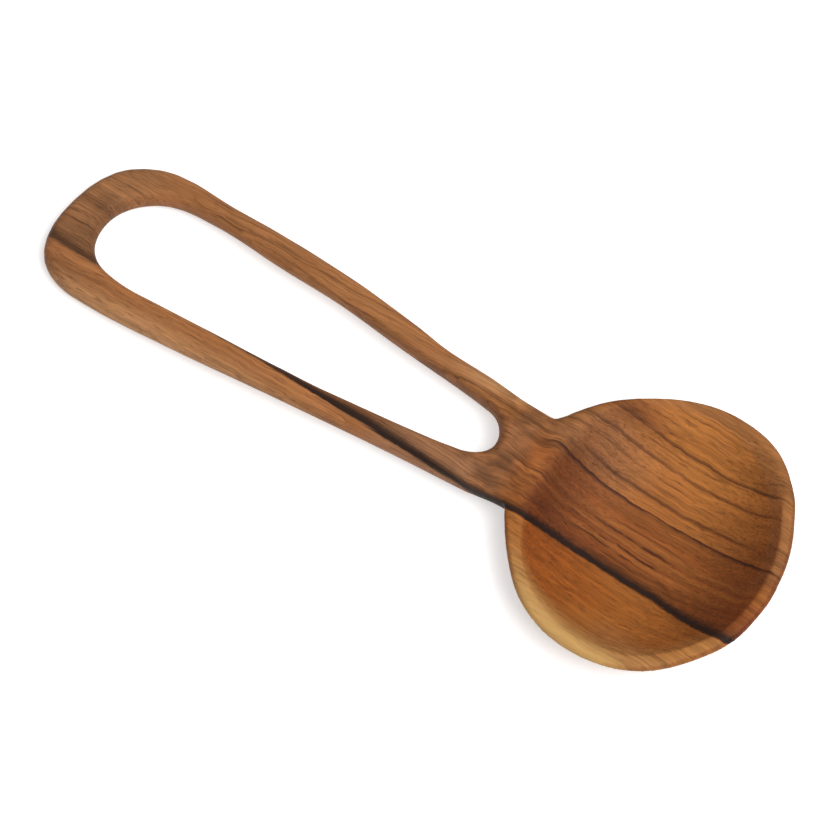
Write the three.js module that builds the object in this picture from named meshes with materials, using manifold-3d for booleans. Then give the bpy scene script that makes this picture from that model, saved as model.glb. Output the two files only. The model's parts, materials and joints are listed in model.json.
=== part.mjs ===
// A wooden spoon carved from one board: a shallow round bowl, and a long pierced loop for a handle.
// Millimetres, +Z up. The spoon lies as it would on a table, on the flat foot under its bowl and on the far
// end of its handle. The origin is the middle of that foot, +X points to the tip of the bowl, and the handle
// runs towards -X. The left arm of the loop is on +Y.
//
// The spoon is drawn in the board's own frame, where the plane z = 0 is the board's top face. The rim of the
// bowl and the top of the neck lie in that face. The finished carving is then tipped onto the table.

import * as THREE from "three";
import { LoftGeometry } from "three/addons/geometries/LoftGeometry.js";
import { mergeVertices } from "three/addons/utils/BufferGeometryUtils.js";
import Module from "manifold-3d";

const wasm = await Module();
wasm.setup();

// Lengths along the spoon, from the tip to the far end
const BOWL_LENGTH = 58.5;
const NECK_LENGTH = 9.6;
const OPENING_LENGTH = 100;
const END_WIDTH = 9.6;

// The bowl
const BOWL_WIDTH = 64.4;
const BOWL_HEIGHT = 14;
const HOLLOW_DEPTH = 10;
const LIP_WIDTH = 3;
const LIP_HEIGHT = 1.6;
const LIP_ROUND = 1.2;
const FOOT_DEPTH = 0.7;

// The rim is cut flatter on the left, beside the neck: how deeply, at what angle from the tip, how widely
const FLAT_DEPTH = 1.1;
const FLAT_ANGLE = 112;
const FLAT_SPREAD = 20;

// The handle, seen from above
const NECK_WIDTH = 22.2;
const LEFT_SHOULDER = 27.6;
const RIGHT_SHOULDER = 23;
const LEFT_CORNER = 3;
const RIGHT_CORNER = 1;
const LOOP_WIDTH = 36.6;
const LEFT_ARM_WIDTH = 5.7;
const RIGHT_ARM_WIDTH = 7.4;
const OPENING_TURN = 7.4;
const OPENING_NEAR_WIDTH = 12;
const END_LEAN = 2.5;

// The handle, seen from the side
const NECK_THICKNESS = 7.8;
const ARM_THICKNESS = 6.2;
const END_THICKNESS = 6;
const HANDLE_ARCH = 1.5;
const EDGE_ROUND = 2.4;
const PAD_DEPTH = 0.15;

// How full the carving is: the powers of the bowl's curves
const HOLLOW_POWER = 2.8;
const BELLY_POWER = 2;

// How finely the curves are divided
const BOWL_STEPS = 96;
const WALL_STEPS = 12;
const LIP_STEPS = 4;
const EDGE_STEPS = 4;
const KEEL_STEPS = 12;
const ARM_STEPS = 26;
const TURN_STEPS = 9;

// Places along X that follow from the lengths
const BACK_X = -BOWL_LENGTH / 2;
const NEAR_X = BACK_X - NECK_LENGTH;
const FAR_X = NEAR_X - OPENING_LENGTH;
const END_X = FAR_X - END_WIDTH;

const point = (x, y) => new THREE.Vector2(x, y);
const mix = THREE.MathUtils.lerp;

// A closed mesh as a solid that can be joined and cut
function solidOf(geometry) {
  const plain = new THREE.BufferGeometry().copy(geometry);
  plain.deleteAttribute("normal");
  plain.deleteAttribute("uv");
  const merged = mergeVertices(plain);
  return new wasm.Manifold(
    new wasm.Mesh({
      numProp: 3,
      vertProperties: merged.attributes.position.array,
      triVerts: new Uint32Array(merged.index.array),
    }),
  );
}

// A solid back as a geometry that a mesh can show
function geometryOf(solid) {
  const made = solid.getMesh();
  const geometry = new THREE.BufferGeometry();
  geometry.setAttribute("position", new THREE.BufferAttribute(made.vertProperties, 3));
  geometry.setIndex(new THREE.BufferAttribute(made.triVerts, 1));
  geometry.computeVertexNormals();
  return geometry;
}

// The rim at an angle from the tip: an oval, a little flattened on the left
function rimAt(angle) {
  const aside = Math.cos(angle - THREE.MathUtils.degToRad(FLAT_ANGLE)) - 1;
  const flat = Math.exp(aside / THREE.MathUtils.degToRad(FLAT_SPREAD) ** 2);
  const reach = 1 - (FLAT_DEPTH / (BOWL_WIDTH / 2)) * flat;
  return point((reach * Math.cos(angle) * BOWL_LENGTH) / 2, (reach * Math.sin(angle) * BOWL_WIDTH) / 2);
}

// A profile of (share of the rim's reach, height) points, turned about the bowl's axis on the rim's plan
function turned(profile) {
  const geometry = new THREE.LatheGeometry(profile, BOWL_STEPS).rotateX(Math.PI / 2);
  const places = geometry.attributes.position;
  for (let i = 0; i < places.count; i++) {
    const spoke = point(places.getX(i), places.getY(i));
    const place = rimAt(Math.atan2(spoke.y, spoke.x)).multiplyScalar(spoke.length());
    places.setXY(i, place.x, place.y);
  }
  return solidOf(geometry);
}

// The outside of the bowl: a rounded belly, a lip with a rounded outer edge, and a top still to be hollowed
function bowlBlock() {
  const round = LIP_ROUND / (BOWL_WIDTH / 2);
  const profile = [];
  for (let i = 0; i <= WALL_STEPS; i++) {
    const share = i / WALL_STEPS;
    const rise = (BOWL_HEIGHT - LIP_HEIGHT) * share ** BELLY_POWER;
    profile.push(point(share, rise - BOWL_HEIGHT));
  }
  for (let i = 1; i <= LIP_STEPS; i++) {
    const angle = (i / LIP_STEPS) * (Math.PI / 2);
    profile.push(point(1 - round * (1 - Math.cos(angle)), LIP_HEIGHT * (Math.sin(angle) - 1)));
  }
  profile.push(point(0, 0));
  return turned(profile);
}

// What the gouge takes out: a wide flat floor that steepens towards the inner edge of the lip
function hollow() {
  const mouth = 1 - LIP_WIDTH / (BOWL_WIDTH / 2);
  const profile = [];
  for (let i = 0; i <= WALL_STEPS; i++) {
    const share = i / WALL_STEPS;
    profile.push(point(mouth * share, HOLLOW_DEPTH * (share ** HOLLOW_POWER - 1)));
  }
  profile.push(point(mouth, HOLLOW_DEPTH));
  profile.push(point(0, HOLLOW_DEPTH));
  return turned(profile);
}

// The top face of the handle at a place along X: level at the neck, with a slight arch over the loop
function topAt(x) {
  const share = THREE.MathUtils.clamp((NEAR_X - x) / (NEAR_X - END_X), 0, 1);
  return HANDLE_ARCH * Math.sin(share * Math.PI) ** 2;
}

// The handle's thickness at a place: slim along the arms, and at the neck a keel that thins to the shoulders
function thicknessAt({ x, y }) {
  const arms = mix(ARM_THICKNESS, END_THICKNESS, THREE.MathUtils.smoothstep(-x, -NEAR_X, -END_X));
  const aside = THREE.MathUtils.smoothstep(Math.abs(y), NECK_WIDTH / 4, RIGHT_SHOULDER);
  const keel = mix(NECK_THICKNESS, LIP_HEIGHT, aside);
  return mix(arms, keel, THREE.MathUtils.smoothstep(x, NEAR_X - 2 * NECK_LENGTH, BACK_X));
}

// One rib of the handle: a closed section with rounded edges, from the opening's edge to the outer edge
function rib(inner, outer) {
  const width = inner.distanceTo(outer);
  const round = Math.min(EDGE_ROUND, 0.45 * width) / width;
  const across = [];
  for (let i = 0; i <= EDGE_STEPS; i++) {
    const angle = (i / EDGE_STEPS) * (Math.PI / 2);
    across.push({ share: round * (1 - Math.cos(angle)), lift: Math.sin(angle) });
  }
  const top = [...across, ...across.map(({ share, lift }) => ({ share: 1 - share, lift })).reverse()];
  const bottom = top.slice(1, -1).map(({ share, lift }) => ({ share, lift: -lift })).reverse();
  return [...top, ...bottom].map(({ share, lift }) => {
    const place = new THREE.Vector2().lerpVectors(inner, outer, share);
    const half = thicknessAt(place) / 2;
    return new THREE.Vector3(place.x, place.y, topAt(place.x) - half + half * lift);
  });
}

const curve = (...points) => new THREE.CubicBezierCurve(...points);

// The outer edge of the handle, as curves from its root inside the bowl round the loop and back
function outerEdge() {
  const neck = NECK_WIDTH / 2;
  const loop = LOOP_WIDTH / 2;
  const root = point(BACK_X / 2, 0);
  const end = point(END_X, -END_LEAN);
  const wideX = mix(END_X, NEAR_X, 0.19);
  return [
    curve(root, point(root.x, neck), point(mix(root.x, BACK_X, 0.3), neck), point(BACK_X, neck)),
    curve(
      point(BACK_X, neck),
      point(mix(BACK_X, wideX, 0.42), mix(neck, loop, 0.18)),
      point(mix(BACK_X, wideX, 0.47), loop),
      point(wideX, loop),
    ),
    curve(point(wideX, loop), point(mix(wideX, END_X, 0.64), loop), point(END_X, 0.58 * loop), end),
    curve(end, point(END_X, -0.8 * loop), point(mix(wideX, END_X, 0.75), -loop), point(wideX, -loop)),
    curve(
      point(wideX, -loop),
      point(mix(wideX, BACK_X, 0.25), -mix(loop, neck, 0.12)),
      point(mix(wideX, BACK_X, 0.66), -mix(loop, neck, 0.7)),
      point(BACK_X, -neck),
    ),
    curve(point(BACK_X, -neck), point(mix(root.x, BACK_X, 0.3), -neck), point(root.x, -neck), root),
  ];
}

// One rib of the web between the lip and the neck: flat on top, edged like the lip, and keeled below
function webRib(right, left) {
  const round = LIP_ROUND / right.distanceTo(left);
  const edge = [];
  for (let i = 0; i <= LIP_STEPS; i++) {
    const angle = (i / LIP_STEPS) * (Math.PI / 2);
    edge.push({ share: round * (1 - Math.cos(angle)), z: LIP_HEIGHT * (Math.sin(angle) - 1) });
  }
  const top = [...edge, ...edge.map(({ share, z }) => ({ share: 1 - share, z })).reverse()];
  const keel = [];
  for (let i = KEEL_STEPS - 1; i > 0; i--) {
    const share = i / KEEL_STEPS;
    keel.push({ share, z: -mix(LIP_HEIGHT, 0.9 * NECK_THICKNESS, Math.sin(share * Math.PI)) });
  }
  return [...top, ...keel].map(({ share, z }) => {
    const place = new THREE.Vector2().lerpVectors(right, left, share);
    return new THREE.Vector3(place.x, place.y, z);
  });
}

// The web itself: ribs whose ends leave the lip along its tangent and turn the corners into the neck
function shoulders() {
  const neck = NECK_WIDTH / 2;
  const edge = (shoulder, corner, side) => {
    const leave = Math.PI - Math.asin(shoulder / (BOWL_WIDTH / 2));
    const start = rimAt(side * leave);
    const tangent = rimAt(side * (leave + 0.01)).sub(start);
    const reach = (0.85 * (BACK_X - start.x)) / tangent.x;
    return curve(
      start,
      start.clone().addScaledVector(tangent, reach),
      point(BACK_X, side * neck),
      point(BACK_X - corner, side * (neck - LIP_ROUND)),
    );
  };
  const right = edge(RIGHT_SHOULDER, RIGHT_CORNER, -1);
  const left = edge(LEFT_SHOULDER, LEFT_CORNER, 1);
  const ribs = [];
  for (let i = 0; i <= TURN_STEPS; i++) {
    ribs.push(webRib(right.getPoint(i / TURN_STEPS), left.getPoint(i / TURN_STEPS)));
  }
  return solidOf(new LoftGeometry(ribs, { capStart: true, capEnd: true }));
}

// The edge of the opening, as curves that start at the neck and match the outer edge arm by arm
function openingEdge() {
  const near = point(NEAR_X, 0);
  const far = point(FAR_X, 0);
  const turnX = NEAR_X - OPENING_TURN;
  const left = LOOP_WIDTH / 2 - LEFT_ARM_WIDTH;
  const right = LOOP_WIDTH / 2 - RIGHT_ARM_WIDTH;
  const nearLeft = 0.57 * OPENING_NEAR_WIDTH;
  const nearRight = 0.43 * OPENING_NEAR_WIDTH;
  const leftX = mix(FAR_X, NEAR_X, 0.2);
  const rightX = mix(FAR_X, NEAR_X, 0.15);
  return {
    nearLeft: curve(
      near,
      point(NEAR_X, nearLeft / 2),
      point(mix(turnX, NEAR_X, 0.55), nearLeft),
      point(turnX, nearLeft),
    ),
    left: curve(
      point(turnX, nearLeft),
      point(mix(turnX, leftX, 0.33), mix(nearLeft, left, 0.4)),
      point(mix(turnX, leftX, 0.67), mix(nearLeft, left, 0.88)),
      point(leftX, left),
    ),
    farLeft: curve(point(leftX, left), point(mix(leftX, FAR_X, 0.6), left), point(FAR_X, 0.6 * left), far),
    farRight: curve(
      far,
      point(FAR_X, -0.7 * right),
      point(mix(rightX, FAR_X, 0.62), -right),
      point(rightX, -right),
    ),
    right: curve(
      point(rightX, -right),
      point(mix(rightX, turnX, 0.45), -mix(right, nearRight, 0.15)),
      point(mix(rightX, turnX, 0.6), -mix(right, nearRight, 0.25)),
      point(turnX, -nearRight),
    ),
    nearRight: curve(
      point(turnX, -nearRight),
      point(mix(turnX, NEAR_X, 0.55), -nearRight),
      point(NEAR_X, -nearRight / 2),
      near,
    ),
  };
}

// The handle: ribs set round the opening and skinned as one ring, whose root is buried in the bowl
function handleRing() {
  const { nearLeft, left, farLeft, farRight, right, nearRight } = openingEdge();
  const inside = [nearLeft, left, farLeft, farRight, right, nearRight];
  const ribs = [];
  outerEdge().forEach((outside, k) => {
    const steps = inside[k] === left || inside[k] === right ? ARM_STEPS : TURN_STEPS;
    for (let i = 0; i < steps; i++) {
      ribs.push(rib(inside[k].getPoint(i / steps), outside.getPoint(i / steps)));
    }
  });
  return solidOf(new LoftGeometry([...ribs, ribs[0]]));
}

// A block that takes in everything on one side of a plane through the origin
function sideBlock(x, z) {
  const size = 2 * (BOWL_LENGTH - END_X);
  return solidOf(new THREE.BoxGeometry(size, size, size).translate((x * size) / 2, 0, (z * size) / 2));
}

// The carving tipped onto the table, with the belly and the far end sanded flat where they rest on it
function restingSpoon() {
  const carved = bowlBlock().add(handleRing()).add(shoulders()).subtract(hollow());
  const drop = BOWL_HEIGHT - FOOT_DEPTH - (END_THICKNESS - PAD_DEPTH);
  const tilt = Math.atan2(drop, -EDGE_ROUND - END_X);
  const belly = (BOWL_HEIGHT - LIP_HEIGHT) / (BOWL_LENGTH / 2) ** 2;
  const footX = -Math.tan(tilt) / (2 * belly);
  const footZ = FOOT_DEPTH - BOWL_HEIGHT - footX * Math.tan(tilt);
  const geometry = geometryOf(carved).translate(-footX, 0, -footZ).rotateY(-tilt);
  return solidOf(geometry).intersect(sideBlock(0, 1));
}

const wood = new THREE.MeshStandardMaterial({ color: 0x9a5a2b, roughness: 0.55, metalness: 0 });

// One carving, kept as two nodes that meet flush at a flat cut across the middle of the neck
function node(name, solid) {
  const mesh = new THREE.Mesh(geometryOf(solid), wood);
  mesh.name = name;
  return mesh;
}

const spoon = new THREE.Group();
spoon.name = "wooden_spoon";
const whole = restingSpoon();
const cutX = mix(BACK_X, NEAR_X, 0.5);
spoon.add(node("bowl", whole.intersect(sideBlock(1, 0).translate(cutX, 0, 0))));
spoon.add(node("handle", whole.intersect(sideBlock(-1, 0).translate(cutX, 0, 0))));

export default spoon;
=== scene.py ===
import json
import math

import bpy
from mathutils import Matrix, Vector

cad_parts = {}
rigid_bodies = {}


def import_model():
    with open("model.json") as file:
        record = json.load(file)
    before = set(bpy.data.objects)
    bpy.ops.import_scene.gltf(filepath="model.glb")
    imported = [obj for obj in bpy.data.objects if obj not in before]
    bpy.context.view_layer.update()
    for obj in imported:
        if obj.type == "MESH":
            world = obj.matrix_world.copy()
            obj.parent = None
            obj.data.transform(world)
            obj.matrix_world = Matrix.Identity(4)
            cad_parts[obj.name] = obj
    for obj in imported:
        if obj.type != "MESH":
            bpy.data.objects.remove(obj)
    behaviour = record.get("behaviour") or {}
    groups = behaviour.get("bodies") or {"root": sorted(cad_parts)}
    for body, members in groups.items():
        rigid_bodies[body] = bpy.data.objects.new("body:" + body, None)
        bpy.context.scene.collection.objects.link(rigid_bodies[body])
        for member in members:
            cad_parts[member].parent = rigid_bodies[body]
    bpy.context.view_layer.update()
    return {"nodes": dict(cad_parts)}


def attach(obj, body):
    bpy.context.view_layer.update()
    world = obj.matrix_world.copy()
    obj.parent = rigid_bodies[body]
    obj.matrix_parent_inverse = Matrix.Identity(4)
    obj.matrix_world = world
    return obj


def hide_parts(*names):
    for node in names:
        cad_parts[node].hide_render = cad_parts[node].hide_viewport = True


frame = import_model()

MM_PER_M = 1000

# The camera's direction from the spoon, which the dark streak's sheet also leans along, and its lens
AZIMUTH = math.radians(32.79)
ELEVATION = math.radians(65.8)
TO_CAMERA = Vector((
    math.sin(AZIMUTH) * math.cos(ELEVATION),
    -math.cos(AZIMUTH) * math.cos(ELEVATION),
    math.sin(ELEVATION),
))
CAMERA_DISTANCE = 1.0
LOOK_AT = Vector((-0.0540, -0.00348, 0.008))
LENS_IN_PIXELS = 4739.2
PICTURE_WIDTH = 840
SENSOR_WIDTH = 36


def deselect():
    bpy.ops.object.select_all(action="DESELECT")


def select_only(piece):
    deselect()
    piece.select_set(True)
    bpy.context.view_layer.objects.active = piece


def apply_modifier(piece, kind, name, **settings):
    select_only(piece)
    modifier = piece.modifiers.new(name, kind)
    for key, value in settings.items():
        setattr(modifier, key, value)
    bpy.ops.object.modifier_apply(modifier=name)


# The carving, in metres where nothing else is said

MERGE_DISTANCE = 0.000002
SKIN_FINENESS = 0.00042
SMOOTHING = 0.5
SCRAPING_PASSES = 4
SANDING_PASSES = 16
GOUGING_PASSES = 300
FAIRING_PASSES = 300

# The rim's oval
RIM_MIDDLE = 0.0011
RIM_HALF_LENGTH = 0.02925
RIM_HALF_WIDTH = 0.0322

# The flat lip, in shares of the rim's reach, and the height above which it lies
LIP_MIDDLE = 0.945
LIP_HALF_WIDTH = 0.055
LIP_SOFT_EDGE = 0.03
LIP_OUTSIDE = 1.05
LIP_HEIGHT = 0.009

# Windows where the tools have worked: from, to and soft margin, along or across the spoon, in height,
# by angle from the tip towards the left or by reach
HEAD_ALONG = (-0.026, -0.0225, 0.0025)
HEAD_ACROSS = (-0.008, 0.009, 0.005)
GOUGED_ANGLES = (65, 145, 25)
GOUGED_REACH = (0.80, 0.905, 0.045)
GOUGED_ABOVE = 0.005
GOUGED_FROM = -0.033
SCOOPED_ANGLES = (80, 138, 30)
SCOOPED_REACH = (0.83, 0.88, 0.07)
SCOOPED_ABOVE = 0.006
SCOOP_DEPTH = 0.0012
KEEL_ALONG = (-0.031, -0.019, 0.006)
KEEL_HEIGHT = (-0.001, 0.006, 0.003)

# How far the rim is trimmed out of its oval, in mm at angles from the tip towards the left
RIM_TRIM = [
    (-165, 0), (-120, 0.2), (-90, 0), (-60, 0.4), (-40, 0.15), (-22, 0.4), (-8, 0), (10, -0.35),
    (30, -0.45), (45, 0.1), (63, 0.5), (85, 0), (118, 0), (142, 0.3), (165, 0),
]
RIM_TRIM_ABOVE = 0.004
RIM_TRIM_FROM = 0.7
RIM_TRIM_FADE = 0.25

# How far the loop is trimmed out of its smooth curves, all in mm: the sides of its arms at places along the
# spoon, where more wood is positive, and its far end at places across
ARM_TRIM = {
    ("left", "outside"): [
        (-138, 0), (-132, 0.2), (-126, 0.1), (-115, -0.4), (-104, -0.2), (-92, -0.1), (-78, 0.15),
        (-66, 0.2), (-58, -0.1), (-46, 0.4), (-36, 0),
    ],
    ("left", "inside"): [
        (-138, 0), (-129, -0.6), (-117, 0), (-100, 0.6), (-82, 0), (-68, 0.2), (-48, -0.15), (-38, 0),
    ],
    ("right", "inside"): [
        (-138, 0), (-127, 0.6), (-104, 0.45), (-86, 0.25), (-74, -0.05), (-49, -0.35), (-38, 0),
    ],
    ("right", "outside"): [
        (-138, 0), (-129, -0.35), (-116, -0.2), (-100, 0), (-84, 0), (-56, -0.3), (-36, 0),
    ],
}
END_TRIM = [(-6, 0), (4, 0.45), (9, 0.4), (14, 0)]
LOOP_UP_TO = -36
FAR_END_ALONG = (-150, -138, 10)


def copy_of_node(name):
    select_only(frame["nodes"][name])
    bpy.ops.object.duplicate()
    piece = bpy.context.active_object
    bpy.ops.object.parent_clear(type="CLEAR_KEEP_TRANSFORM")
    bpy.ops.object.mode_set(mode="EDIT")
    bpy.ops.mesh.select_all(action="SELECT")
    bpy.ops.mesh.remove_doubles(threshold=MERGE_DISTANCE)
    bpy.ops.object.mode_set(mode="OBJECT")
    return piece


def on_oval(point):
    """A point's place from the middle of the bowl, scaled so that the rim's oval is a circle of radius 1."""
    return (point[0] - RIM_MIDDLE) / RIM_HALF_LENGTH, point[1] / RIM_HALF_WIDTH


def rim_reach(point):
    """How far out a point lies: 1 on the rim's oval, 0 in the middle of the bowl."""
    return math.hypot(*on_oval(point))


def rim_angle(point):
    """The direction of a point from the middle of the bowl, in degrees from the tip towards the left."""
    along, across = on_oval(point)
    return math.degrees(math.atan2(across, along))


def window(value, low, high, soft):
    """1 between low and high, falling to 0 over a soft margin outside them."""
    return max(0, min(1, (value - low) / soft + 1, (high - value) / soft + 1))


def sanding_share(point):
    """Sanding spares the two edges of the lip."""
    reach = rim_reach(point)
    if point[2] < LIP_HEIGHT or reach > LIP_OUTSIDE:
        return 1
    return min(1, max(0, abs(reach - LIP_MIDDLE) - LIP_HALF_WIDTH) / LIP_SOFT_EDGE)


def gouge_share(point):
    """How far the gouge has rounded the hollow's edge over: at the neck and along the left rim."""
    if point[2] < GOUGED_ABOVE or point[0] < GOUGED_FROM:
        return 0
    neck = window(point[0], *HEAD_ALONG) * window(point[1], *HEAD_ACROSS)
    left = window(rim_angle(point), *GOUGED_ANGLES) * window(rim_reach(point), *GOUGED_REACH)
    return max(neck, left)


def keel_share(point):
    """Where the underside of the neck is faired into the belly."""
    return window(point[0], *KEEL_ALONG) * window(point[2], *KEEL_HEIGHT)


def scoop_left_lip(spoon):
    """On the left the gouge runs out over the lip and leaves no edge inside the rim."""
    facing_up = [max(0, vertex.normal.z) for vertex in spoon.data.vertices]
    for vertex, up in zip(spoon.data.vertices, facing_up):
        if vertex.co.z > SCOOPED_ABOVE:
            depth = SCOOP_DEPTH * up * window(rim_angle(vertex.co), *SCOOPED_ANGLES)
            vertex.co.z -= depth * window(rim_reach(vertex.co), *SCOOPED_REACH)


def trim_at(table, place):
    """The trim at a place, eased between the rows of a table in mm and given in m."""
    for (start, first), (end, second) in zip(table, table[1:]):
        if start <= place <= end:
            share = (place - start) / (end - start)
            share = share * share * (3 - 2 * share)
            return (first + (second - first) * share) / MM_PER_M
    return 0


def trim_rim(spoon):
    """The rim is cut by eye and wavers a little from its oval."""
    for vertex in spoon.data.vertices:
        reach = rim_reach(vertex.co)
        if vertex.co.z > RIM_TRIM_ABOVE and reach > RIM_TRIM_FROM:
            outward = Vector((vertex.co.x - RIM_MIDDLE, vertex.co.y, 0)).normalized()
            share = min(1, (reach - RIM_TRIM_FROM) / RIM_TRIM_FADE)
            vertex.co += outward * trim_at(RIM_TRIM, rim_angle(vertex.co)) * share


def trim_loop(spoon):
    """The arms are shaved by eye, so their sides waver, and the far end is cut at a slant."""
    normals = [vertex.normal.copy() for vertex in spoon.data.vertices]
    for vertex, normal in zip(spoon.data.vertices, normals):
        along, across = vertex.co.x * MM_PER_M, vertex.co.y * MM_PER_M
        if along < LOOP_UP_TO:
            hand, side = ("left", 1) if across > 0 else ("right", -1)
            outer = 0.5 + 0.5 * side * normal.y
            more = outer * trim_at(ARM_TRIM[hand, "outside"], along)
            more -= (1 - outer) * trim_at(ARM_TRIM[hand, "inside"], along)
            vertex.co.y += side * more
            end = trim_at(END_TRIM, across) * window(along, *FAR_END_ALONG)
            vertex.co.x += max(0, -normal.x) * end


def paint_group(piece, name, share_at):
    group = piece.vertex_groups.new(name=name)
    for vertex in piece.data.vertices:
        share = share_at(vertex.co)
        if share > 0:
            group.add([vertex.index], share, "REPLACE")
    return group.name


def smooth(piece, name, passes, share_at=None):
    """Smooth the piece, everywhere or by the share at each point."""
    group = paint_group(piece, name, share_at) if share_at else ""
    apply_modifier(piece, "SMOOTH", name, factor=SMOOTHING, iterations=passes, vertex_group=group)


def carved_spoon():
    spoon = copy_of_node("bowl")
    handle = copy_of_node("handle")
    apply_modifier(spoon, "BOOLEAN", "one board", operation="UNION", solver="EXACT", object=handle)
    bpy.data.objects.remove(handle)
    apply_modifier(spoon, "REMESH", "skin", mode="VOXEL", voxel_size=SKIN_FINENESS)
    smooth(spoon, "scraping", SCRAPING_PASSES)
    smooth(spoon, "sanding", SANDING_PASSES, sanding_share)
    scoop_left_lip(spoon)
    trim_rim(spoon)
    trim_loop(spoon)
    smooth(spoon, "gouging", GOUGING_PASSES, gouge_share)
    smooth(spoon, "fairing", FAIRING_PASSES, keel_share)
    select_only(spoon)
    bpy.ops.object.shade_smooth()
    spoon.name = "spoon"
    return spoon


# The wood, with places on the board in mm: x along the spoon to the tip, y across to the left, z up,
# "across" from the middle of the board as the grain runs, and "sheet" leftwards from the dark streak's edge

HEART_PALE = (0.470, 0.172, 0.038)
HEART_DEEP = (0.215, 0.058, 0.012)
HEART_LINE = (0.052, 0.014, 0.005)
STREAK = (0.013, 0.0045, 0.0022)
ORANGE = (0.315, 0.086, 0.0125)
ORANGE_PALE = (0.370, 0.124, 0.023)
TAN = (0.360, 0.170, 0.065)
# the sapwood's colour, also used for the painted highlight on the lip
SAPWOOD_AND_LIP_HIGHLIGHT = (0.580, 0.332, 0.114)
ARM_TAN = (0.410, 0.185, 0.076)
ARM_PALE = (0.520, 0.270, 0.120)
NECK_BROWN = (0.240, 0.110, 0.050)
OLIVE = (0.265, 0.130, 0.060)
ARM_GREY = (0.370, 0.200, 0.115)
# Darker where the surface faces along the board: end grain, and on the hollow's steep walls painted shade
END_GRAIN_AND_WALL_SHADE = (0.70, 0.60, 0.56)

# Patterns in the wood: stretch along, across and down the board, detail and roughness
WANDER = ((0.030, 0.02, 0.02), 1, 0.5)
RIPPLE = ((0.13, 0.09, 0.06), 1, 0.5)
SHIVER = ((0.55, 0.30, 0.10), 1, 0.5)
CURL = ((0.13, 0.10, 0.06), 1, 0.5)
BANDS = ((0.012, 0.75, 0.15), 3, 0.6)
FIBRES = ((0.045, 2.2, 1.7), 4, 0.62)
PORES = ((0.20, 2.9, 2.4), 2, 0.5)
FIGURE = ((0.020, 0.075, 0.05), 2, 0.5)
BREAKS = ((0.11, 0.45, 0.20), 3, 0.6)
VEINS = ((0.010, 0.42, 0.10), 2, 0.5)
GAPS = ((0.26, 0.75, 0.2), 2, 0.5)
MOTTLE = ((0.20, 0.30, 0.2), 2, 0.5)

# A range is the places where something begins and is full, and the values there if they aren't 0 and 1.
# A patch of the board is a list of ranges, each with its axis, and it may spare a share of another patch
NECK = [("x", -48, -36), ("x", -20, -30)]
LEFT_RIM = [("z", 11.3, 12.6), ("y", -2, 6), ("x", -20, -10)]
LEFT_SHOULDER = [("y", 4, 8), ("x", -34, -38)]

# The grain: where it begins to drop and how steeply, and how far it swings to both sides
DROP_FROM = -8
DROP_RATE = 0.0013
WANDER_SWING = 0.6
RIPPLE_SWING = 0.7
SHIVER_SWING = 0.22
CURL_RANGE = (0.2, 0.8, -0.7, 0.7)
PORE_RANGE = (0.57, 0.69)

# Growth lines along the board: place across it, reach of the dark to the left and to the right, how dark,
# and where the line begins and ends along the spoon
GROWTH_LINES = [
    (28.8, 0.3, 0.4, 0.35, -8, 10),
    (27.0, 0.4, 0.4, 0.30, -10, 14),
    (25.2, 0.5, 0.3, 0.25, -4, 16),
    (20.4, 2.8, 0.3, 0.66, -22, -8),
    (20.5, 0.9, 0.35, 0.75, -16, 24),
    (16.4, 0.8, 0.4, 0.65, -26, 25),
    (13.6, 0.3, 0.4, 0.40, -120, 4),
    (11.9, 0.3, 0.3, 0.30, -85, 2),
    (9.6, 0.5, 0.9, 0.70, -22, 22),
    (8.2, 0.3, 0.3, 0.35, -70, -6),
    (6.3, 0.3, 1.0, 1.00, -31, 31),
    (6.2, 0.4, 1.6, 0.55, -8, 13),
    (1.2, 0.4, 0.6, 0.60, -9, 11),
    (-1.0, 0.6, 0.5, 1.0, -12, 8),
    (-1.6, 0.3, 0.6, 0.95, -34, -22),
    (7.8, 0.9, 0.9, 0.55, -36, -25),
    (-2.7, 0.4, 0.5, 0.95, -18, -6),
    (-3.6, 0.4, 0.6, 1.0, -12, 9),
    (-5.0, 0.3, 0.6, 0.95, -16, 2),
    (-6.3, 0.4, 0.4, 0.40, -8, 14),
    (-6.0, 3.0, 2.0, 0.24, -2, 22),
    (-2.8, 0.3, 0.5, 0.70, -147, -137),
    (3.0, 0.8, 0.8, 0.40, -147, -135),
    (-13.4, 0.4, 0.6, 0.35, -112, -80),
    (-14.8, 0.3, 0.4, 0.25, -126, -96),
    (-17.6, 0.3, 0.5, 0.30, 0, 12),
    (-19.2, 0.3, 0.5, 0.40, 10, 20),
]
LINE_ENDS_BEYOND = 2
LINE_FULL_WITHIN = 5
LINE_BREAKS = (0.30, 0.52, 0.60, 1.0)
LINES_BEYOND_STREAK = (-1, 1, 0.5, 1.0)
LINES_IN_SAPWOOD_AND_LIP_HIGHLIGHT = (0, 1, 1.0, 0.3)
VEIN_MIDDLE = 0.5
VEIN_WIDTH = 0.030
VEIN_STRENGTH = (0.35, 0.65, 0.1, 0.45)

# Right of the middle of the hollow the lines are dashes
DASHED = [("across", -7, -5.5), ("across", 0.6, -0.4), ("x", -22, -18)]
GAP_RANGE = (0.50, 0.42)
GAP_STRENGTH = 0.65

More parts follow.
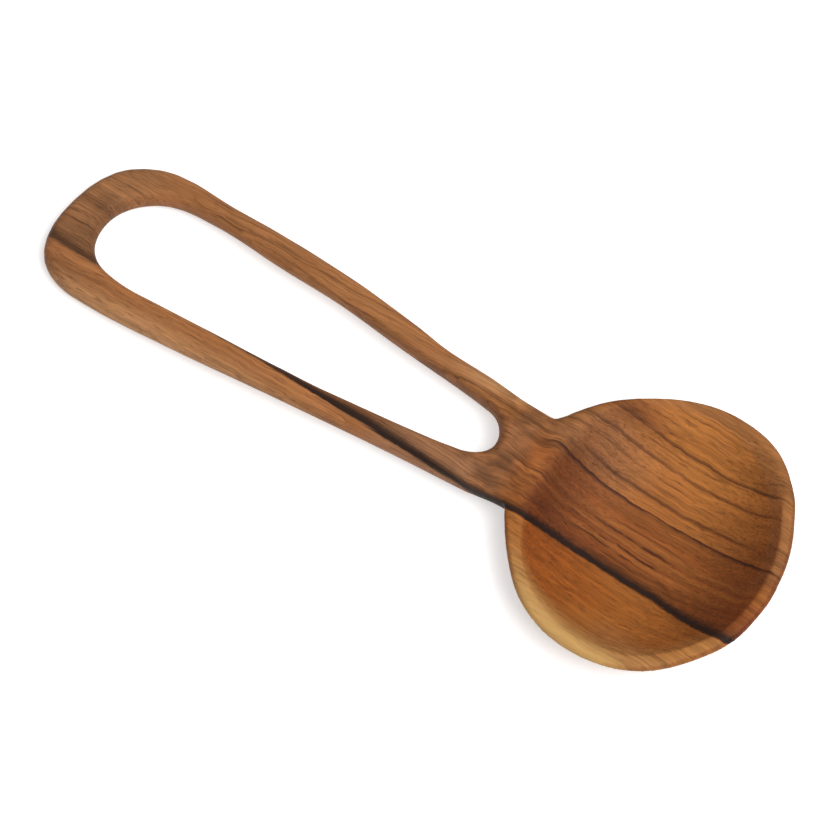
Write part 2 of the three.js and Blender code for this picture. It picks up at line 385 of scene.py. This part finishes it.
# The dark streak along the board: place along the spoon, its sharp edge across, and its breadth
STREAK_PATH = [
    (-147, -11.5, 1.3), (-133, -11.5, 1.0), (-112, -11.6, 0.7), (-92, -11.4, 0.6), (-76, -11.6, 0.8),
    (-66, -11.9, 1.25), (-56, -12.25, 1.3), (-46, -12.6, 1.05), (-36, -12.9, 0.75), (-24, -11.8, 0.9),
    (-10, -12.75, 1.05), (6, -13.3, 1.15), (17, -13.8, 1.1), (30, -12.9, 1.2),
]
STREAK_EDGES = (-15, -10)
STREAK_BREADTHS = (0, 2)
STREAK_HEIGHT = 11
STREAK_LEAN = -TO_CAMERA.y / TO_CAMERA.z
STREAK_SHIVER = 0.8
STREAK_FRAY = (0.3, 0.7, -0.20, 0.20)
STREAK_STRENGTH = (-146, -80, 0.74, 1.0)
# From x -128 to -92 the streak runs faintly along the right arm's inner edge: partly the streak, partly
# painted shade on that rounded edge
STREAK_FAINT = (0.3, [("x", -128, -112), ("x", -76, -100)])

# How dark the streak is from its sharp edge inwards: depth in breadths and darkness
STREAK_DEPTHS = [(-0.15, 0), (0.25, 1), (1.1, 0.97), (1.6, 0.72), (2.1, 0.36), (2.8, 0.14), (4, 0)]
STREAK_DEPTH_RANGE = (-1, 4)

# The sapwood lies right of the streak, more of it higher up and nearer the neck, and the lip is a little
# paler, which is a painted highlight on its flat top
SAP_HEIGHT = 10
SAP_BY_HEIGHT = 1.6
SAP_FROM = -25
SAP_BY_LENGTH = 0.30
SAP_WAVER = (0.3, 0.7, -1.5, 1.5)
SAP_RANGE = (11.2, 23.3)
PAINTED_LIP_HIGHLIGHT = (10.8, 13.2, 0, 0.24)

# How pale the heartwood is across the board: place and share of the pale tone
HEART_BANDS = [
    (-14, 0.0), (-7, 0.0), (-5.8, 0.0), (-4.3, 0.22), (-3.2, 0.02), (-2.2, 0.48), (-1, 0.12), (0.3, 0.55),
    (1.5, 0.25), (3.5, 0.33), (6.3, 0.36), (7.2, 0.76), (8.6, 0.42), (11, 0.58), (15.2, 0.70), (17.5, 0.78),
    (20, 0.90), (22, 0.72), (25, 0.90), (30, 1.0),
]
BOARD_HALF_WIDTH = 32
HEART_EDGE = (-0.2, 0.2)
HEART_WAVER = (0.3, 0.7, -0.15, 0.15)
HEART_DEEPER = (0.55, [("x", -2, -20), ("y", 13, 22)])
HEART_PALER = (0.25, [("x", -23, -27), ("y", 0, -5)])
ORANGE_RANGE = (0.36, 0.64)
ORANGE_DULLER = (0.4, [("sheet", -7, -12), ("x", -4, 8)])

# Where the wood has another tone: colour, strength and patch
TINTS = {
    "both arms": (ARM_TAN, 0.55, [("x", -30, -50)]),
    "outside of the right arm": (ARM_PALE, 0.7, [("y", -12.5, -18), ("x", -50, -80)]),
    "neck": (NECK_BROWN, 0.6, [("x", -27, -33), ("x", -44, -35), ("spared", 0.8, LEFT_SHOULDER)]),
    "far end": (OLIVE, 0.45, [("x", -124, -138), ("sheet", -0.5, 0.5, 0.3, 1.0)]),
    "right arm by the neck": (ARM_GREY, 0.35, [("x", -66, -56), ("x", -34, -40), ("y", -4, -8)]),
    "left arm by the neck": (ARM_PALE, 0.6, [("x", -58, -46), ("x", -34, -39), ("y", 8, 11)]),
    "left of the hollow's head": (OLIVE, 0.45, [("x", -2, -18), ("x", -34, -26), ("y", 4, 9), ("y", 22, 16)]),
    "left rim": (ARM_TAN, 0.4, LEFT_RIM),
}

# How the wood is lighter or darker by its bands, fibres, pores and mottles, and more even in the sapwood and
# on the lip's painted highlight
BAND_SHADE = (0.3, 0.7, 0.75, 1.23)
FIBRE_SHADE = (0.25, 0.75, 0.70, 1.28)
PORE_SHADE = 0.36
MOTTLE_SHADE = (0.3, 0.7, -0.30, 0.30)
SAP_AND_LIP_HIGHLIGHT_SHADE = (0, 1, 1.0, 0.4)

# Where the wood is darker: how much and patch. The left arm is a darker tone of the wood, the other places are
# painted shade
DARKER_TONES_AND_PAINTED_SHADE = {
    # the steep wall at the head of the hollow: its darker end grain, and painted shade on the wall
    "head of the hollow": (0.22, [("x", -25.4, -23.8), ("x", -13, -21), ("y", -12, -8), ("y", 12, 8)]),
    # painted shade in the hollow towards the tip, below the lip
    "tip": (0.16, [("x", 2, 18), ("y", -20, -12), ("z", 12.6, 11.3)]),
    # painted shade on the lip of the left rim, as though it tilted away from the light
    "left rim": (0.19, LEFT_RIM),
    "left arm": (0.07, [("x", -56, -66), ("x", -112, -100), ("y", 2, 8)]),
    # painted shade on the far end along its inner edge
    "inside of the far end": (0.26, [("x", -142.5, -138.5), ("x", -128, -135), ("y", -9, -5), ("y", 9, 4)]),
}

# End grain, and painted shade on the hollow's steep walls: how far the surface faces along the board and up,
# and where it is on the spoon
END_ALONG = (0.08, 0.75)
END_UP = (0.15, 0.60, 0.3, 1.0)
END_GRAIN_AND_SHADE_IN_HOLLOW = (-28, -25, 0.25, 1.0)

# The oiled surface
ROUGHNESS = (0.3, 0.7, 0.68, 0.56)
SPECULAR_LEVEL = 0.16
BUMP_STRENGTH = 0.25
BUMP_DISTANCE = 0.0002
PORE_DEPTH = 0.6
LINE_DEPTH = 0.8


class Nodes:
    """A node tree with short ways to add to it."""

    def __init__(self, tree):
        self.tree = tree

    def add(self, kind, **settings):
        node = self.tree.nodes.new(kind)
        for key, value in settings.items():
            setattr(node, key, value)
        return node

    def feed(self, socket, value):
        if isinstance(value, bpy.types.NodeSocket):
            self.tree.links.new(value, socket)
        else:
            socket.default_value = value

    def maths(self, operation, *values, clamp=False):
        node = self.add("ShaderNodeMath", operation=operation, use_clamp=clamp)
        for socket, value in zip(node.inputs, values):
            self.feed(socket, value)
        return node.outputs[0]

    def plus(self, first, *others):
        for other in others:
            first = self.maths("ADD", first, other)
        return first

    def minus(self, first, second):
        return self.maths("SUBTRACT", first, second)

    def times(self, first, *others):
        for other in others:
            first = self.maths("MULTIPLY", first, other)
        return first

    def less(self, share, amount):
        """1 where the share is 0, and lower by the amount where it is 1."""
        return self.maths("MULTIPLY_ADD", share, -amount, 1)

    def vector(self, x, y, z):
        node = self.add("ShaderNodeCombineXYZ")
        for socket, value in zip(node.inputs, (x, y, z)):
            self.feed(socket, value)
        return node.outputs[0]

    def axes(self, vector):
        node = self.add("ShaderNodeSeparateXYZ")
        self.feed(node.inputs[0], vector)
        return node.outputs

    def noise(self, place, stretch, detail, rough):
        stretched = self.add("ShaderNodeVectorMath", operation="MULTIPLY")
        self.feed(stretched.inputs[0], place)
        self.feed(stretched.inputs[1], stretch)
        texture = self.add("ShaderNodeTexNoise")
        settings = {"Vector": stretched.outputs[0], "Scale": 1, "Detail": detail, "Roughness": rough}
        for name, value in settings.items():
            self.feed(texture.inputs[name], value)
        return texture.outputs["Fac"]

    def span(self, value, low, high, to_low=0.0, to_high=1.0, smooth=True):
        """A value between low and high, mapped to between to_low and to_high and held there."""
        curve = "SMOOTHSTEP" if smooth else "LINEAR"
        node = self.add("ShaderNodeMapRange", interpolation_type=curve)
        settings = {"Value": value, "From Min": low, "From Max": high, "To Min": to_low, "To Max": to_high}
        for name, setting in settings.items():
            self.feed(node.inputs[name], setting)
        return node.outputs["Result"]

    def mix(self, share, first, second, blend="MIX"):
        node = self.add("ShaderNodeMix", data_type="RGBA", blend_type=blend)
        self.feed(node.inputs["Factor"], share)
        for name, colour in (("A", first), ("B", second)):
            socket = [s for s in node.inputs if s.name == name and s.type == "RGBA"][0]
            self.feed(socket, colour if isinstance(colour, bpy.types.NodeSocket) else (*colour, 1))
        return [s for s in node.outputs if s.type == "RGBA"][0]

    def ramp(self, value, stops, low, high, curve="LINEAR"):
        """A shade that follows stops of place and shade between low and high."""
        node = self.add("ShaderNodeValToRGB")
        self.feed(node.inputs[0], self.span(value, low, high, smooth=False))
        node.color_ramp.interpolation = curve
        elements = node.color_ramp.elements
        while len(elements) < len(stops):
            elements.new(0.5)
        for element, (place, shade) in zip(elements, stops):
            element.position = (place - low) / (high - low)
            element.color = (shade, shade, shade, 1)
        return node.outputs["Color"]


class OiledWood(Nodes):
    """The board that the spoon is carved from."""

    def __init__(self):
        self.material = bpy.data.materials.new("oiled_wood")
        self.material.use_nodes = True
        super().__init__(self.material.node_tree)
        self.shader = self.tree.nodes["Principled BSDF"]
        coordinates = self.add("ShaderNodeTexCoord")
        self.normal = coordinates.outputs["Normal"]
        scaled = self.add("ShaderNodeVectorMath", operation="SCALE")
        self.feed(scaled.inputs[0], coordinates.outputs["Object"])
        self.feed(scaled.inputs["Scale"], MM_PER_M)
        self.board = scaled.outputs[0]
        self.x, self.y, self.z = self.axes(self.board)
        self.places = {"x": self.x, "y": self.y, "z": self.z}
        self.follow_grain()
        self.grow_fibres()
        self.lay_streak()
        self.spread_sapwood()
        self.draw_growth_lines()
        colour = self.mix(1.0, self.toned_colour(), self.shading(), "MULTIPLY")
        colour = self.mix(self.streak, colour, STREAK)
        self.feed(self.shader.inputs["Base Color"], self.with_end_grain_and_wall_shade(colour))
        self.finish_surface()

    def patch(self, edges):
        """1 on a patch of the board and 0 off it."""
        shares = []
        for axis, *numbers in edges:
            if axis == "spared":
                amount, spared = numbers
                shares.append(self.less(self.patch(spared), amount))
            else:
                shares.append(self.span(self.places[axis], *numbers))
        return self.times(*shares)

    def share(self, amount, edges):
        """The amount on a patch of the board and 0 off it."""
        return self.times(self.patch(edges), amount)

    def waver(self, pattern, swing):
        """A pattern that swings to both sides."""
        return self.span(self.noise(self.board, *pattern), 0, 1, -swing, swing, smooth=False)

    def follow_grain(self):
        """The grain drops towards the tip, wanders and ripples, and curls at the neck."""
        past = self.maths("MAXIMUM", self.minus(self.x, DROP_FROM), 0)
        drop = self.times(self.maths("POWER", past, 2), DROP_RATE)
        wander = self.waver(WANDER, WANDER_SWING)
        ripple = self.waver(RIPPLE, RIPPLE_SWING)
        self.shiver = self.waver(SHIVER, SHIVER_SWING)
        self.by_neck = self.patch(NECK)
        curl = self.span(self.noise(self.board, *CURL), *CURL_RANGE)
        waves = self.plus(wander, ripple, self.shiver, self.times(self.by_neck, curl))
        self.across = self.plus(self.y, drop, waves)
        self.places["across"] = self.across
        self.grain = self.vector(self.x, self.across, self.z)

    def grow_fibres(self):
        """Fibres and open pores along the grain, and the broad figure of the board."""
        self.bands = self.noise(self.grain, *BANDS)
        self.fibres = self.noise(self.grain, *FIBRES)
        self.pores = self.span(self.noise(self.grain, *PORES), *PORE_RANGE)
        self.figure = self.noise(self.board, *FIGURE)

    def along_streak(self, column, low, high):
        """A column of the streak's path, followed along the spoon."""
        stops = [(row[0], (row[column] - low) / (high - low)) for row in STREAK_PATH]
        share = self.ramp(self.x, stops, STREAK_PATH[0][0], STREAK_PATH[-1][0], "EASE")
        return self.span(share, 0, 1, low, high, smooth=False)

    def lay_streak(self):
        """The dark streak is a sheet through the board, sharp on its right and soft on its left."""
        edge = self.along_streak(1, *STREAK_EDGES)
        breadth = self.along_streak(2, *STREAK_BREADTHS)
        lean = self.times(self.minus(self.z, STREAK_HEIGHT), STREAK_LEAN)
        self.sheet = self.minus(self.plus(self.y, lean), edge)
        self.sheet = self.plus(self.sheet, self.times(self.shiver, STREAK_SHIVER))
        self.places["sheet"] = self.sheet
        depth = self.maths("DIVIDE", self.sheet, breadth)
        depth = self.plus(depth, self.span(self.fibres, *STREAK_FRAY))
        dark = self.ramp(depth, STREAK_DEPTHS, *STREAK_DEPTH_RANGE)
        strength = self.minus(self.span(self.x, *STREAK_STRENGTH), self.share(*STREAK_FAINT))
        self.streak = self.times(dark, strength)

    def spread_sapwood(self):
        """The wood beyond the streak is paler towards the lower rim, and the lip gets a painted highlight in
        the sapwood's pale colour.
        """
        outward = self.minus(self.times(self.minus(self.z, SAP_HEIGHT), SAP_BY_HEIGHT), self.sheet)
        outward = self.minus(outward, self.times(self.maths("MAXIMUM", self.x, SAP_FROM), SAP_BY_LENGTH))
        outward = self.plus(outward, self.span(self.figure, *SAP_WAVER))
        # painted highlight: everything as high as the lip takes up to a quarter of the sapwood's pale colour
        lip_highlight = self.span(self.z, *PAINTED_LIP_HIGHLIGHT)
        self.sapwood_and_lip_highlight = self.maths("MAXIMUM", self.span(outward, *SAP_RANGE), lip_highlight)

    def draw_growth_lines(self):
        """Growth lines, a little broken along the grain, with fine veins between them."""
        broken = self.noise(self.board, *BREAKS)
        vein = self.maths("ABSOLUTE", self.minus(self.noise(self.grain, *VEINS), VEIN_MIDDLE))
        lines = self.times(self.span(vein, VEIN_WIDTH, 0), self.span(broken, *VEIN_STRENGTH))
        for place, left, right, dark, start, end in GROWTH_LINES:
            off = self.minus(self.across, place)
            line = self.maths("MINIMUM", self.span(off, left, 0), self.span(off, -right, 0))
            begun = self.span(self.x, start - LINE_ENDS_BEYOND, start + LINE_FULL_WITHIN)
            ended = self.span(self.x, end + LINE_ENDS_BEYOND, end - LINE_FULL_WITHIN)
            line = self.times(line, self.maths("MINIMUM", begun, ended), dark)
            lines = self.maths("MAXIMUM", lines, line)
        lines = self.times(lines, self.span(broken, *LINE_BREAKS))
        gaps = self.times(self.patch(DASHED), self.span(self.noise(self.board, *GAPS), *GAP_RANGE))
        lines = self.times(lines, self.less(gaps, GAP_STRENGTH))
        lines = self.times(lines, self.span(self.sheet, *LINES_BEYOND_STREAK))
        self.lines = self.times(lines, self.span(self.sapwood_and_lip_highlight, *LINES_IN_SAPWOOD_AND_LIP_HIGHLIGHT))

    def toned_colour(self):
        """Brown heartwood, orange wood beyond the streak, sapwood with the painted highlight on the lip, and
        the tints of single places.
        """
        pale = self.ramp(self.across, HEART_BANDS, -BOARD_HALF_WIDTH, BOARD_HALF_WIDTH)
        pale = self.maths("ADD", pale, self.span(self.figure, *HEART_WAVER), clamp=True)
        pale = self.maths("SUBTRACT", pale, self.share(*HEART_DEEPER), clamp=True)
        pale = self.maths("ADD", pale, self.share(*HEART_PALER), clamp=True)
        brown = self.mix(pale, HEART_DEEP, HEART_PALE)
        orange = self.mix(self.span(self.figure, *ORANGE_RANGE), ORANGE, ORANGE_PALE)
        orange = self.mix(self.share(*ORANGE_DULLER), orange, TAN)
        orange = self.mix(self.sapwood_and_lip_highlight, orange, SAPWOOD_AND_LIP_HIGHLIGHT)
        colour = self.mix(self.span(self.sheet, *HEART_EDGE), orange, brown)
        for tint, strength, edges in TINTS.values():
            colour = self.mix(self.share(strength, edges), colour, tint)
        return self.mix(self.lines, colour, HEART_LINE)

    def shading(self):
        """How much lighter or darker the wood is all over, and at single places, most of which are painted
        shade.
        """
        shade = self.span(self.bands, *BAND_SHADE, smooth=False)
        shade = self.times(shade, self.span(self.fibres, *FIBRE_SHADE, smooth=False))
        shade = self.times(shade, self.less(self.pores, PORE_SHADE))
        mottle = self.span(self.noise(self.board, *MOTTLE), *MOTTLE_SHADE)
        shade = self.times(shade, self.plus(self.times(mottle, self.by_neck), 1))
        shade = self.maths("MULTIPLY_ADD", self.minus(shade, 1), self.span(self.sapwood_and_lip_highlight, *SAP_AND_LIP_HIGHLIGHT_SHADE), 1)
        # painted shade at single places, and a darker tone of the wood on the left arm
        for amount, edges in DARKER_TONES_AND_PAINTED_SHADE.values():
            shade = self.times(shade, self.less(self.patch(edges), amount))
        return self.vector(shade, shade, shade)

    def with_end_grain_and_wall_shade(self, colour):
        """End grain drinks more oil and is darker, and on the hollow's steep walls this darkening is also
        painted shade, so it is strongest in the hollow.
        """
        along, _, up = self.axes(self.normal)
        ends = self.span(self.maths("ABSOLUTE", along), *END_ALONG)
        ends = self.times(ends, self.span(up, *END_UP), self.span(self.x, *END_GRAIN_AND_SHADE_IN_HOLLOW))
        return self.mix(ends, colour, self.mix(1.0, colour, END_GRAIN_AND_WALL_SHADE, "MULTIPLY"))

    def finish_surface(self):
        """Oiled and satin, with open pores and lines that stand a little lower."""
        rough = self.span(self.fibres, *ROUGHNESS, smooth=False)
        self.feed(self.shader.inputs["Roughness"], rough)
        self.feed(self.shader.inputs["Specular IOR Level"], SPECULAR_LEVEL)
        height = self.minus(self.fibres, self.times(self.pores, PORE_DEPTH))
        height = self.minus(height, self.times(self.lines, LINE_DEPTH))
        bump = self.add("ShaderNodeBump")
        self.feed(bump.inputs["Strength"], BUMP_STRENGTH)
        self.feed(bump.inputs["Distance"], BUMP_DISTANCE)
        self.feed(bump.inputs["Height"], height)
        self.feed(self.shader.inputs["Normal"], bump.outputs[0])


# The studio

FLOOR_SIZE = 1.6
FLOOR_MIDDLE = (-0.05, 0, 0)
FLOOR_COLOUR = (0.92, 0.92, 0.92, 1)
FLOOR_GLOW = 0.50
WORLD_COLOUR = (1, 1, 1, 1)
WORLD_LIGHT = 0.30
WORLD_SEEN = 1.00
LAMP_PLACE = Vector((0.50, -0.08, 1.05))
LAMP_AIM = Vector((-0.05, 0, 0))
LAMP_SIZE = 0.7
LAMP_POWER = 12


def seen_directly(nodes):
    """1 for what the camera sees, also in gloss and through glass, so that the ground looks white there."""
    rays = nodes.add("ShaderNodeLightPath").outputs
    seen = nodes.plus(rays["Is Camera Ray"], rays["Is Glossy Ray"])
    return nodes.maths("ADD", seen, rays["Is Transmission Ray"], clamp=True)


def floor_paint():
    material = bpy.data.materials.new("pale_floor")
    material.use_nodes = True
    nodes = Nodes(material.node_tree)
    material.node_tree.nodes.clear()
    cover = nodes.add("ShaderNodeBsdfDiffuse")
    nodes.feed(cover.inputs["Color"], FLOOR_COLOUR)
    glow = nodes.add("ShaderNodeEmission")
    nodes.feed(glow.inputs["Strength"], nodes.times(seen_directly(nodes), FLOOR_GLOW))
    both = nodes.add("ShaderNodeAddShader")
    nodes.feed(both.inputs[0], cover.outputs[0])
    nodes.feed(both.inputs[1], glow.outputs[0])
    out = nodes.add("ShaderNodeOutputMaterial")
    nodes.feed(out.inputs["Surface"], both.outputs[0])
    return material


def pale_floor():
    deselect()
    bpy.ops.mesh.primitive_plane_add(size=FLOOR_SIZE, location=FLOOR_MIDDLE)
    bpy.ops.object.transform_apply(location=True, rotation=True, scale=True)
    floor = bpy.context.active_object
    floor.name = "floor"
    floor.data.materials.append(floor_paint())
    return floor


def studio_light():
    world = bpy.data.worlds.new("studio")
    bpy.context.scene.world = world
    world.use_nodes = True
    nodes = Nodes(world.node_tree)
    backdrop = world.node_tree.nodes["Background"]
    nodes.feed(backdrop.inputs["Color"], WORLD_COLOUR)
    more = WORLD_SEEN - WORLD_LIGHT
    strength = nodes.maths("MULTIPLY_ADD", seen_directly(nodes), more, WORLD_LIGHT)
    nodes.feed(backdrop.inputs["Strength"], strength)

    lamp = bpy.data.lights.new("overhead", "AREA")
    lamp.shape = "SQUARE"
    lamp.size = LAMP_SIZE
    lamp.energy = LAMP_POWER
    softbox = bpy.data.objects.new("overhead", lamp)
    bpy.context.collection.objects.link(softbox)
    softbox.location = LAMP_PLACE
    softbox.rotation_euler = (LAMP_PLACE - LAMP_AIM).to_track_quat("Z", "Y").to_euler()


def camera():
    lens = bpy.data.cameras.new("camera")
    lens.sensor_width = SENSOR_WIDTH
    lens.lens = LENS_IN_PIXELS * SENSOR_WIDTH / PICTURE_WIDTH
    eye = bpy.data.objects.new("camera", lens)
    bpy.context.collection.objects.link(eye)
    eye.location = LOOK_AT + TO_CAMERA * CAMERA_DISTANCE
    eye.rotation_euler = TO_CAMERA.to_track_quat("Z", "Y").to_euler()
    bpy.context.scene.camera = eye


spoon = carved_spoon()
spoon.data.materials.clear()
spoon.data.materials.append(OiledWood().material)
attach(spoon, "root")
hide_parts("bowl", "handle")

pale_floor()
studio_light()
camera()
bpy.context.scene.view_settings.view_transform = "Standard"
